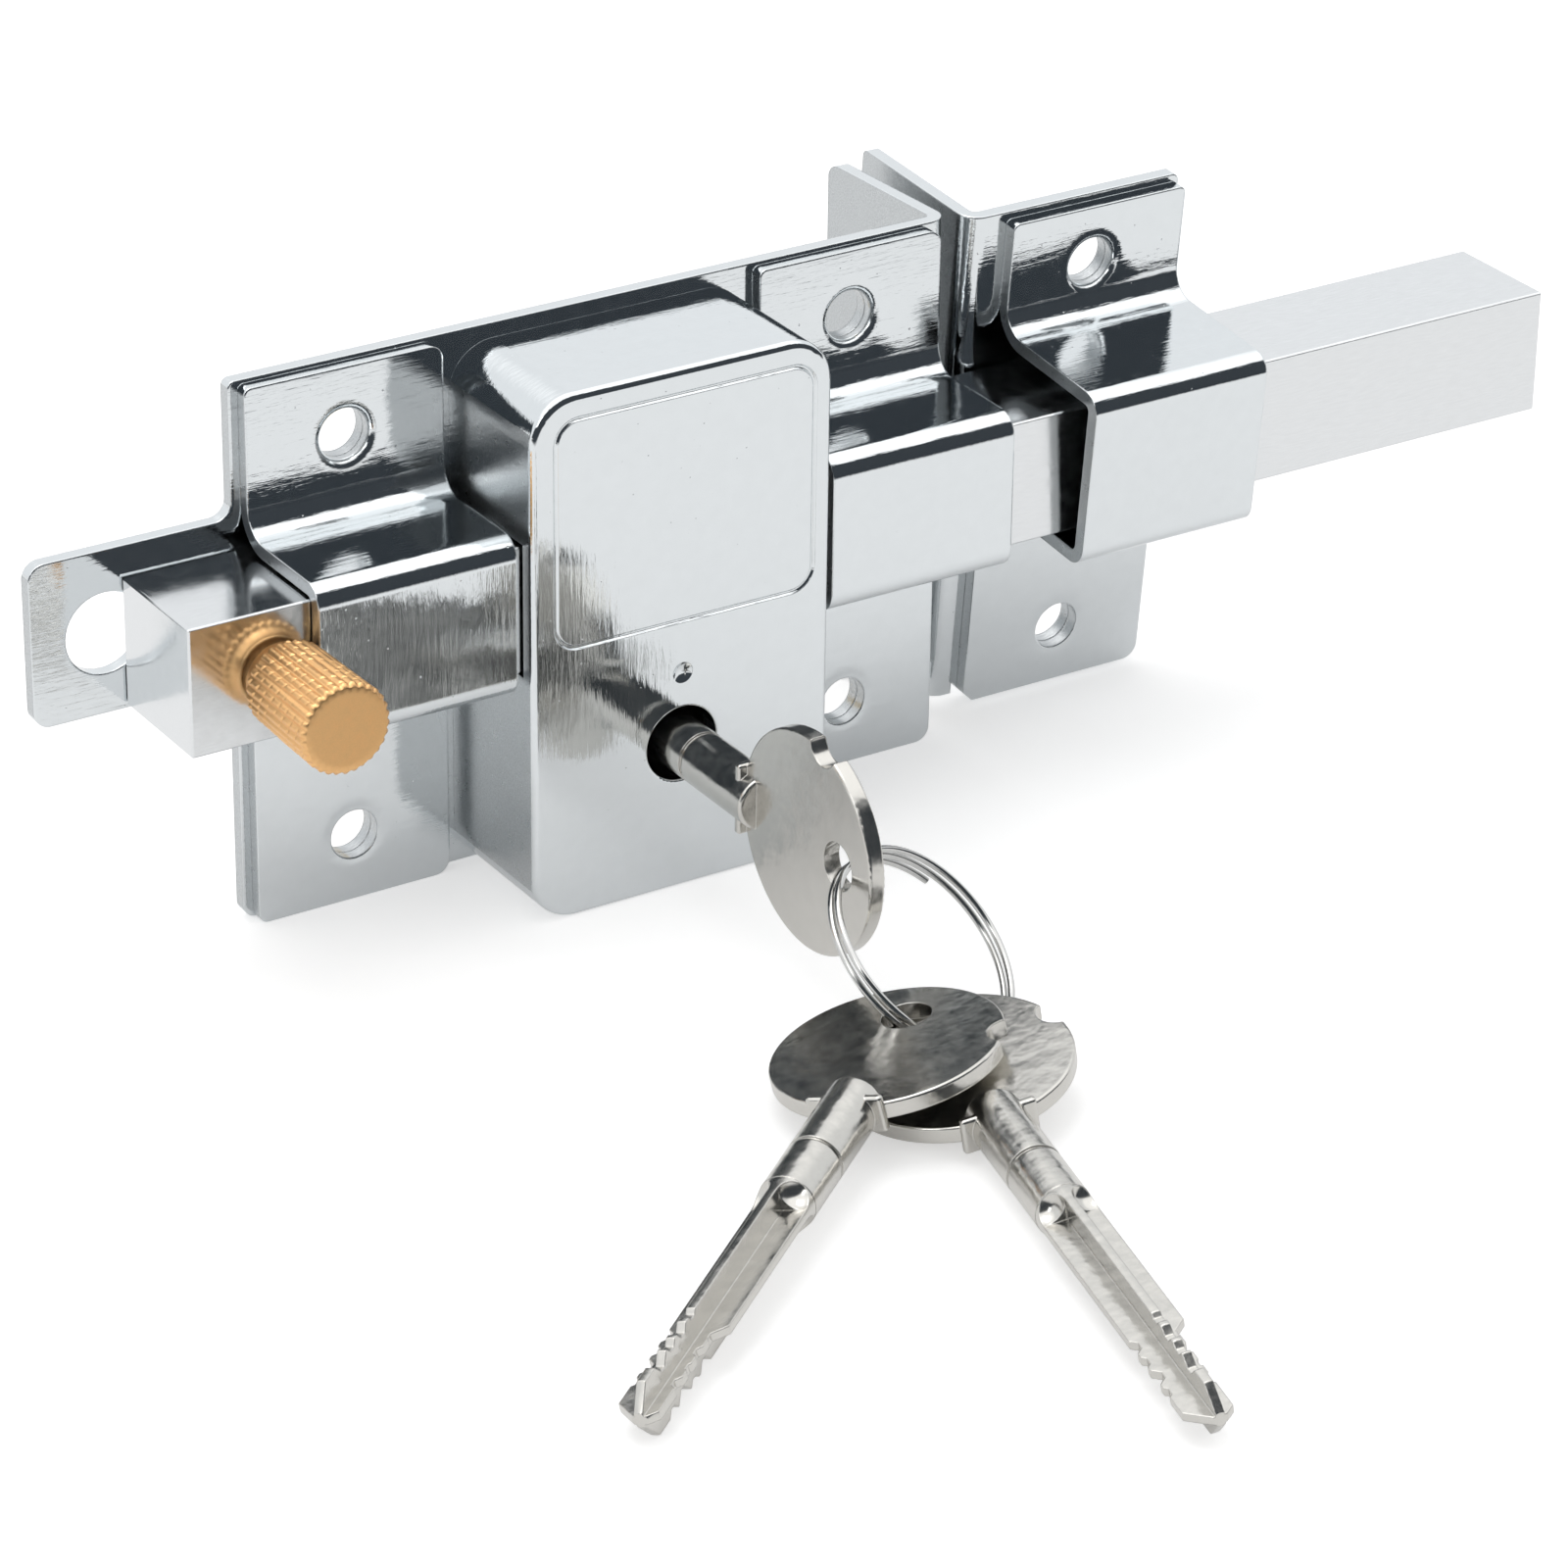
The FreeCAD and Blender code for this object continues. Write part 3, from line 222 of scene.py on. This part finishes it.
class Nodes:
    def __init__(self, tree):
        self.tree = tree

    def add(self, kind, inputs=None, **settings):
        node = self.tree.nodes.new(kind)
        for name, value in settings.items():
            setattr(node, name, value)
        for name, value in (inputs or {}).items():
            socket = node.inputs[name]
            if isinstance(value, bpy.types.NodeSocket):
                self.tree.links.new(value, socket)
            else:
                socket.default_value = value
        return node

    def math(self, operation, a, b=0.0):
        node = self.add("ShaderNodeMath", {0: a, 1: b}, operation=operation)
        return node.outputs[0]

    def noise(self, place, scale, detail, roughness=0.5):
        node = self.add("ShaderNodeTexNoise", {"Vector": place, "Scale": scale, "Detail": detail,
                                               "Roughness": roughness})
        return node.outputs["Fac"]

    def object_place(self):
        return self.add("ShaderNodeTexCoord").outputs["Object"]

    def stretched(self, place, scale):
        return self.add("ShaderNodeMapping", {"Vector": place, "Scale": scale}).outputs[0]

    def spread(self, value, start, end, low=0.0, high=1.0):
        node = self.add("ShaderNodeMapRange", {"Value": value, "From Min": start, "From Max": end,
                                               "To Min": low, "To Max": high})
        return node.outputs[0]

    def around_half(self, value, amount):
        return self.math("MULTIPLY", self.math("SUBTRACT", value, 0.5), amount)

    def mixed(self, share, first, second):
        node = self.add("ShaderNodeMixRGB", {"Fac": share, "Color1": first, "Color2": second})
        return node.outputs[0]

    def finish_metal(self, colour, shade, roughness, height, edge_radius, edge_samples):
        bump_inputs = {"Height": height, "Strength": 1.0, "Distance": 1.0}
        if edge_radius > 0:
            edge = self.add("ShaderNodeBevel", {"Radius": edge_radius}, samples=edge_samples)
            bump_inputs["Normal"] = edge.outputs[0]
        bump = self.add("ShaderNodeBump", bump_inputs)
        shaded = self.add("ShaderNodeVectorMath", {0: colour, "Scale": shade}, operation="SCALE")
        shader = self.add("ShaderNodeBsdfPrincipled",
                          {"Base Color": shaded.outputs[0], "Metallic": 1.0, "Roughness": roughness,
                           "Normal": bump.outputs[0]})
        self.add("ShaderNodeOutputMaterial", {"Surface": shader.outputs[0]})


def new_material(name):
    material = bpy.data.materials.new(name)
    material.use_nodes = True
    material.node_tree.nodes.clear()
    return material, Nodes(material.node_tree)


# Metals

def metal(name, colour, roughness, roughness_spread, mottle, mottle_scale, wave=0.0,
          wave_scale=60.0, grain=0.0, grain_stretch=(1, 1, 1), grain_scale=4000.0,
          round_edge=0.0, lines=0.0):
    # A mottled, grained metal: wave and lines are the depths of its swells and of its grain
    material, n = new_material(name)
    place = n.object_place()
    cloud = n.noise(place, mottle_scale, mottle_detail, mottle_roughness)
    fine = n.noise(n.stretched(place, grain_stretch), grain_scale, grain_detail, grain_roughness)
    rough = n.spread(cloud, cloud_low, cloud_high, roughness - roughness_spread,
                     roughness + roughness_spread)
    shade = n.math("ADD", n.around_half(fine, grain), n.around_half(cloud, mottle))
    shade = n.math("ADD", shade, 1.0)
    swell = n.noise(place, wave_scale, swell_detail)
    height = n.math("ADD", n.math("MULTIPLY", swell, wave), n.math("MULTIPLY", fine, lines))
    n.finish_metal(colour, shade, rough, height, round_edge, metal_edge_samples)
    return material


def from_hole(n, axes):
    # Distance from the axis of the nearest screw hole
    across = n.math("ABSOLUTE", n.math("SUBTRACT", n.math("ABSOLUTE", axes.outputs["X"]), hole_x))
    keeper = n.math("ABSOLUTE", n.math("SUBTRACT", axes.outputs["X"], keeper_hole_x))
    height = n.math("ABSOLUTE", n.math("SUBTRACT", axes.outputs["Z"], hole_mid_z))
    offset = n.add("ShaderNodeCombineXYZ", {"X": n.math("MINIMUM", across, keeper),
                                            "Y": n.math("SUBTRACT", height, hole_z)})
    length = n.add("ShaderNodeVectorMath", {0: offset.outputs[0]}, operation="LENGTH")
    return length.outputs["Value"]


def hole_dish(n, radius):
    off_rim = n.math("DIVIDE", n.math("SUBTRACT", radius, dish_radius), dish_width)
    falloff = n.math("EXPONENT", n.math("MULTIPLY", n.math("MULTIPLY", off_rim, off_rim), -1.0))
    return n.math("MULTIPLY", falloff, -dish_depth)


def plated(name, colour, edge_radius):
    # Bright plate over rolled sheet: streaks run along X, but upright on the channels' and the
    # case's fronts, and the sheared ends and the holes' walls are dull and darkened by painted
    # shade
    material, n = new_material(name)
    place = n.object_place()
    axes = n.add("ShaderNodeSeparateXYZ", {0: place})
    normal = n.add("ShaderNodeNewGeometry").outputs["True Normal"]
    facing = n.add("ShaderNodeSeparateXYZ", {0: normal})
    upright_face = n.math("LESS_THAN", facing.outputs["Y"], facing_front)
    front = n.math("LESS_THAN", axes.outputs["Y"], front_streaks_from)
    front = n.math("MULTIPLY", front, upright_face)
    flange = n.math("SUBTRACT", upright_face, front)
    hole_radius = from_hole(n, axes)
    sideways = n.math("LESS_THAN", n.math("ABSOLUTE", facing.outputs["Y"]), facing_side)
    wall = n.math("LESS_THAN", hole_radius, dish_radius + hole_wall)
    wall = n.math("MULTIPLY", wall, sideways)
    end = n.math("GREATER_THAN", n.math("ABSOLUTE", facing.outputs["X"]), facing_end)
    end = n.math("MAXIMUM", wall, end)
    # Sockets 4 and 5 of a vector mix are its two vectors
    along = n.stretched(place, (streak_stretch, 1, 1))
    upright = n.stretched(place, (1, 1, streak_stretch))
    grain = n.add("ShaderNodeMix", {0: front, 4: along, 5: upright}, data_type="VECTOR").outputs[1]
    coarse = n.noise(grain, streak_scale, streak_detail, streak_roughness)
    fine = n.noise(grain, fine_streak_scale, streak_detail, streak_roughness)
    swell = n.noise(place, swell_scale, swell_detail)
    cloud = n.noise(place, cloud_scale, cloud_detail, cloud_roughness)
    specks = n.add("ShaderNodeTexVoronoi", {"Vector": place, "Scale": pit_scale})
    pit = n.spread(specks.outputs["Distance"], pit_inner, pit_outer)
    height = n.math("MULTIPLY", swell, swell_depth)
    height = n.math("ADD", height, n.math("MULTIPLY", coarse, streak_depth))
    height = n.math("ADD", height, n.math("MULTIPLY", fine, fine_streak_depth))
    lean = n.math("MULTIPLY", n.math("MULTIPLY", axes.outputs["Z"], flange), -flange_lean)
    height = n.math("ADD", height, lean)
    height = n.math("ADD", height, hole_dish(n, hole_radius))
    height = n.math("ADD", height, n.math("MULTIPLY", pit, pit_depth))
    rough = n.spread(cloud, cloud_low, cloud_high, plate_smooth, plate_dull)
    rough = n.math("ADD", rough, n.math("MULTIPLY", end, end_dull))
    shade = n.math("ADD", 1.0, n.around_half(cloud, cloud_shade))
    # Painted shade: the sheared ends and hole walls are darkened along the fine streaks
    painted_end_shade = n.math("MULTIPLY", end, n.math("MULTIPLY", fine, end_painted_shade))
    shade = n.math("SUBTRACT", shade, painted_end_shade)
    n.finish_metal(colour, shade, rough, height, edge_radius, plate_edge_samples)
    return material


def paint(material, names):
    for name in names:
        slots = nodes[name].data.materials
        slots.clear()
        slots.append(material)


# Floor, room and lamps

def make_floor():
    corners = [(-floor_half, -floor_half, floor_z), (floor_half, -floor_half, floor_z),
               (floor_half, floor_half, floor_z), (-floor_half, floor_half, floor_z)]
    floor = new_mesh_object("floor", corners, [(0, 1, 2, 3)])
    material, n = new_material("floor_white")
    path = n.add("ShaderNodeLightPath")
    seen = n.math("ADD", n.math("MULTIPLY", path.outputs["Is Camera Ray"], floor_seen_glow),
                  n.math("MULTIPLY", path.outputs["Is Glossy Ray"], floor_mirrored_glow))
    place = n.add("ShaderNodeSeparateXYZ", {0: n.object_place()})
    near = n.spread(place.outputs["Y"], floor_front - floor_fade, floor_front + floor_fade)
    shown = n.math("MAXIMUM", near, n.math("SUBTRACT", 1.0, path.outputs["Is Glossy Ray"]))
    diffuse = n.add("ShaderNodeBsdfDiffuse", {"Color": n.mixed(shown, room_dark, floor_white)})
    strength = n.math("MULTIPLY", seen, shown)
    glow = n.add("ShaderNodeEmission", {"Color": white, "Strength": strength})
    both = n.add("ShaderNodeAddShader", {0: diffuse.outputs[0], 1: glow.outputs[0]})
    n.add("ShaderNodeOutputMaterial", {"Surface": both.outputs[0]})
    floor.data.materials.append(material)


def make_world():
    # Mirrors see the room; the camera sees plain white; soft light is an even grey
    world = bpy.data.worlds.new("studio")
    world.use_nodes = True
    world.node_tree.nodes.clear()
    n = Nodes(world.node_tree)
    direction = n.add("ShaderNodeTexCoord").outputs["Generated"]
    axes = n.add("ShaderNodeSeparateXYZ", {0: direction})
    path = n.add("ShaderNodeLightPath")
    lean = n.math("ADD", axes.outputs["Z"], n.math("MULTIPLY", axes.outputs["Y"], ceiling_front))
    dark = n.spread(lean, ceiling_front_from, ceiling_front_to, 1.0, 0.0)
    high = n.spread(axes.outputs["Z"], ceiling_back_from, ceiling_back_to)
    room = n.mixed(dark, n.mixed(high, room_back, room_ceiling), room_dark)
    glossy = n.mixed(path.outputs["Is Glossy Ray"], room_diffuse, room)
    seen = n.mixed(path.outputs["Is Camera Ray"], glossy, white)
    shader = n.add("ShaderNodeBackground", {"Color": seen, "Strength": 1.0})
    n.add("ShaderNodeOutputWorld", {"Surface": shader.outputs[0]})
    bpy.context.scene.world = world


def softbox(name, place, width, height, power):
    data = bpy.data.lights.new(name, "AREA")
    data.shape = "RECTANGLE"
    data.size = width
    data.size_y = height
    data.energy = power
    lamp = bpy.data.objects.new(name, data)
    bpy.context.scene.collection.objects.link(lamp)
    lamp.location = place
    way = Vector(lamp_aim) - Vector(place)
    lamp.rotation_euler = way.to_track_quat("-Z", "Y").to_euler()


# The knurled knob, turned about its own axis

def knob_profile(length):
    # Radius, distance behind the front, and how much of the flutes' depth shows there
    rim = knob_front_radius - knob_chamfer
    stations = [(radius, 0.0, 0.0) for radius in knob_face_rings]
    stations += [(rim - knob_rim, 0.0, 0.0), (rim, knob_rim_drop, knob_rim_cut),
                 (knob_front_radius, knob_chamfer, 1.0)]
    for i in range(1, knob_rows + 1):
        part = i / knob_rows
        radius = knob_front_radius + (knob_back_radius - knob_front_radius) * part
        stations.append((radius, knob_chamfer + (knob_grip_end - knob_chamfer) * part, 1.0))
    round_start = knob_shoulder_end - knob_shoulder_round
    stations += [(knob_back_radius - knob_grip_step, knob_grip_end + knob_grip_step_back,
                  knob_grip_step_cut),
                 (knob_shoulder_radius, knob_shoulder, 0.0),
                 (knob_shoulder_radius, round_start, 0.0)]
    for i in range(1, knob_round_steps + 1):
        turn = math.pi / 2 * i / knob_round_steps
        stations.append((knob_shoulder_radius - knob_shoulder_round * (1 - math.cos(turn)),
                         round_start + knob_shoulder_round * math.sin(turn), 0.0))
    return stations + [(knob_neck_radius, knob_shoulder_end, 0.0), (knob_neck_radius, length, 0.0)]


def knob_cut(angle, back):
    # Depth of the knurl: rounded valleys, and slanting nicks that come and go around the grip
    flute = (0.5 + 0.5 * math.cos(angle * knob_flutes)) ** knob_flute_sharpness
    wander = noise.noise(Vector((math.cos(angle) * knob_wander_around,
                                 math.sin(angle) * knob_wander_around,
                                 back * knob_wander_along)))
    slant = angle * knob_nick_count - 2 * math.pi * knob_nick_turns * back / knob_grip_end
    share = max(0.0, min(1.0, knob_nick_share + knob_nick_spread * wander))
    nick = max(0.0, math.cos(slant)) ** knob_nick_sharpness * share
    return max(knob_flute_depth * flute, knob_nick_depth * nick) + knob_wander_depth * wander


def make_knob():
    low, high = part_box("knob")
    middle_x = (low[0] + high[0]) / 2
    middle_z = (low[2] + high[2]) / 2
    vertices = []
    faces = []
    for row, (radius, back, cut) in enumerate(knob_profile(high[1] - low[1])):
        for column in range(knob_columns):
            angle = 2 * math.pi * column / knob_columns
            reach = radius - cut * knob_cut(angle, back)
            vertices.append((middle_x + reach * math.cos(angle), low[1] + back,
                             middle_z + reach * math.sin(angle)))
            if row:
                beside = (column + 1) % knob_columns
                start = (row - 1) * knob_columns
                faces.append((start + column, start + beside, start + knob_columns + beside,
                              start + knob_columns + column))
    knob = new_mesh_object("knob_knurled", vertices, faces)
    shape = bmesh.new()
    shape.from_mesh(knob.data)
    bmesh.ops.remove_doubles(shape, verts=shape.verts, dist=merge_distance)
    open_end = [edge for edge in shape.edges if edge.is_boundary]
    bmesh.ops.holes_fill(shape, edges=open_end)
    bmesh.ops.recalc_face_normals(shape, faces=shape.faces)
    for face in shape.faces:
        face.smooth = True
    shape.to_mesh(knob.data)
    shape.free()
    knob.data.materials.append(brass)
    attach(knob, "bar")
    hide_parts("knob")


make_camera()
make_floor()
make_world()
softbox("softbox_top", top_lamp_place, top_lamp_side, top_lamp_side, top_lamp_power)
softbox("softbox_left", left_lamp_place, left_lamp_width, left_lamp_height, left_lamp_power)

chrome = plated("chrome", chrome_colour, sheet_edge)
drawn_chrome = plated("drawn_chrome", chrome_colour, drawn_edge)
satin = metal("satin_steel", satin_colour, roughness=0.16, roughness_spread=0.05, mottle=0.06,
              mottle_scale=500.0, wave=0.00003, wave_scale=150.0, grain=0.16,
              grain_stretch=(streak_stretch, 1, 1), grain_scale=3500.0, round_edge=0.0002,
              lines=0.0000026)
inner = metal("inner_steel", inner_colour, roughness=0.36, roughness_spread=0.08, mottle=0.15,
              mottle_scale=400.0, grain=0.1)
brass = metal("knob_brass", brass_colour, roughness=0.42, roughness_spread=0.08, mottle=0.2,
              mottle_scale=700.0, grain=0.2)
cylinder_brass = metal("cylinder_brass", cylinder_brass_colour, roughness=0.3,
                       roughness_spread=0.06, mottle=0.12, mottle_scale=400.0, grain=0.1)
plug_nickel = metal("plug_nickel", nickel_brass_colour, roughness=0.22, roughness_spread=0.05,
                    mottle=0.1, mottle_scale=400.0, grain=0.08)
nickel = metal("key_nickel", nickel_colour, roughness=0.2, roughness_spread=0.07, mottle=0.16,
               mottle_scale=350.0, wave=0.00011, wave_scale=300.0, grain=0.1, round_edge=0.0003,
               lines=0.0000015)
wire = metal("ring_steel", ring_colour, roughness=0.14, roughness_spread=0.04, mottle=0.05,
             mottle_scale=800.0)

paint(chrome, ["backplate", "left_bridge", "right_bridge", "keeper_plate", "keeper_bridge"])
paint(drawn_chrome, ["case_shell"])
paint(satin, ["bolt_bar", "travel_stop"])
paint(inner, ["case_posts", "case_screws", "cylinder_screws", "plug_cam", "plug_washer",
              "plug_clip", "locking_dog", "guide_bracket", "guide_posts", "pin_springs",
              "knob_stud"])
paint(brass, ["knob"])
paint(cylinder_brass, ["key_pins", "driver_pins", "cylinder_body"])
paint(plug_nickel, ["plug"])
paint(nickel, ["key_1", "key_2", "key_3"])
paint(wire, ["split_ring"])
make_knob()

bpy.context.scene.view_settings.view_transform = "Standard"
